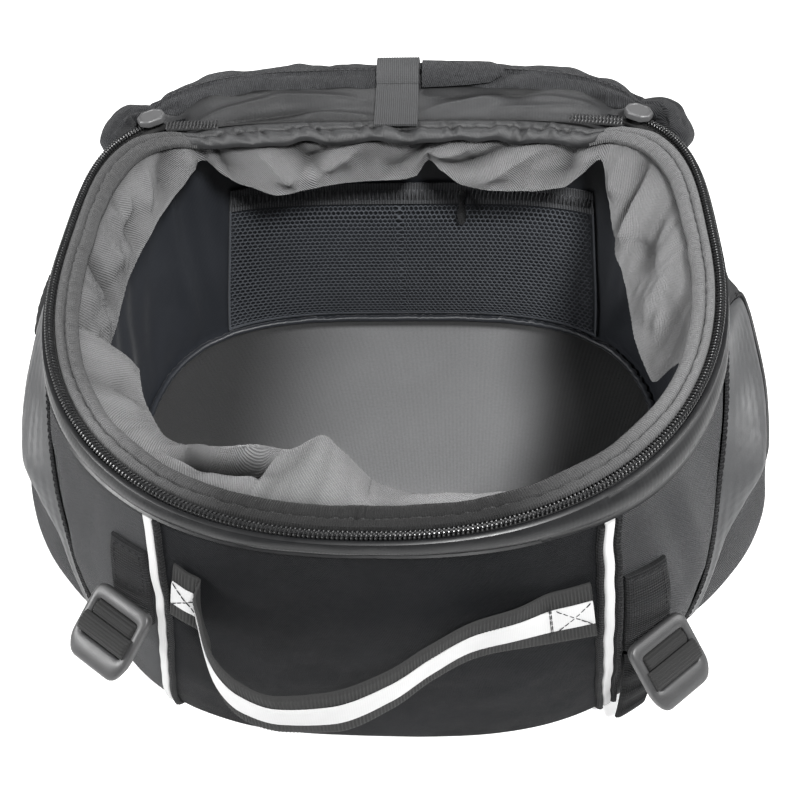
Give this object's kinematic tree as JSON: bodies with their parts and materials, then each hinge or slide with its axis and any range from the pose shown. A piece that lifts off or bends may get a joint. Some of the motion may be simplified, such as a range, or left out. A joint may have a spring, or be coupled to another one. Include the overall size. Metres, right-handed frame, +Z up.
{
  "type": "motorcycle gear bag",
  "caption": "Open black fabric gear bag with a grey gathered liner, zip rim, mesh pocket, side pockets, carrying strap with a reflective stripe and strap buckles.",
  "frame": {"origin": "on the floor under the middle of the base panel", "axes": "+X to the bag's right seen from its front, +Y from the front to the hinged back, +Z up through the mouth"},
  "size_m": [0.4165, 0.5389, 0.2013],
  "materials": {
    "shell": "black twill, matt",
    "lining": "dark satin with a soft sheen",
    "mesh": "open knitted net",
    "webbing": "ribbed woven tape",
    "slider": "satin grey lacquer",
    "coil": "satin nylon coil",
    "film": "smooth coated cloth, satin",
    "liner": "thin grey twill, matt",
    "fold": "padded knit, matt",
    "reflective": "white reflective tape, satin",
    "plastic": "moulded grey plastic, semi-gloss"
  },
  "bodies": {
    "root": {"base_panel": "shell", "front_panel": "shell", "side_panel_right": "shell", "side_panel_left": "shell", "back_panel": "shell", "lid_panel": "shell", "lid_corner_left": "shell", "lid_corner_right": "shell", "pocket_face_left": "shell", "pocket_face_right": "shell", "wall_lining": "lining", "floor_lining": "lining", "floor_piping": "lining", "hinge_strip": "lining", "mesh_pocket": "mesh", "mesh_zip_band": "webbing", "zip_tape": "webbing", "elastic_loop": "webbing", "seam_binding_left": "webbing", "seam_binding_right": "webbing", "carry_strap": "webbing", "strap_tab_left": "webbing", "strap_tab_right": "webbing", "buckle_webbing_left": "webbing", "buckle_webbing_right": "webbing", "strap_tail_right": "webbing", "pocket_tape_left": "webbing", "pocket_tape_right": "webbing", "pocket_edge_right": "webbing", "pocket_pull_left": "webbing", "mesh_pull": "slider", "zip_slider_left": "slider", "zip_slider_right": "slider", "zip_coil": "coil", "lid_coil": "coil", "zip_chain_left": "coil", "zip_chain_right": "coil", "film_band": "film", "lid_boxing": "film", "pocket_gusset_left": "film", "pocket_gusset_right": "film", "liner_hem": "liner", "liner_skirt": "liner", "lid_fold": "fold", "strap_end": "fold", "reflective_strip_left": "reflective", "reflective_strip_right": "reflective", "carry_stripe": "reflective", "buckle_left": "plastic", "buckle_right": "plastic"}
  },
  "joints": []
}
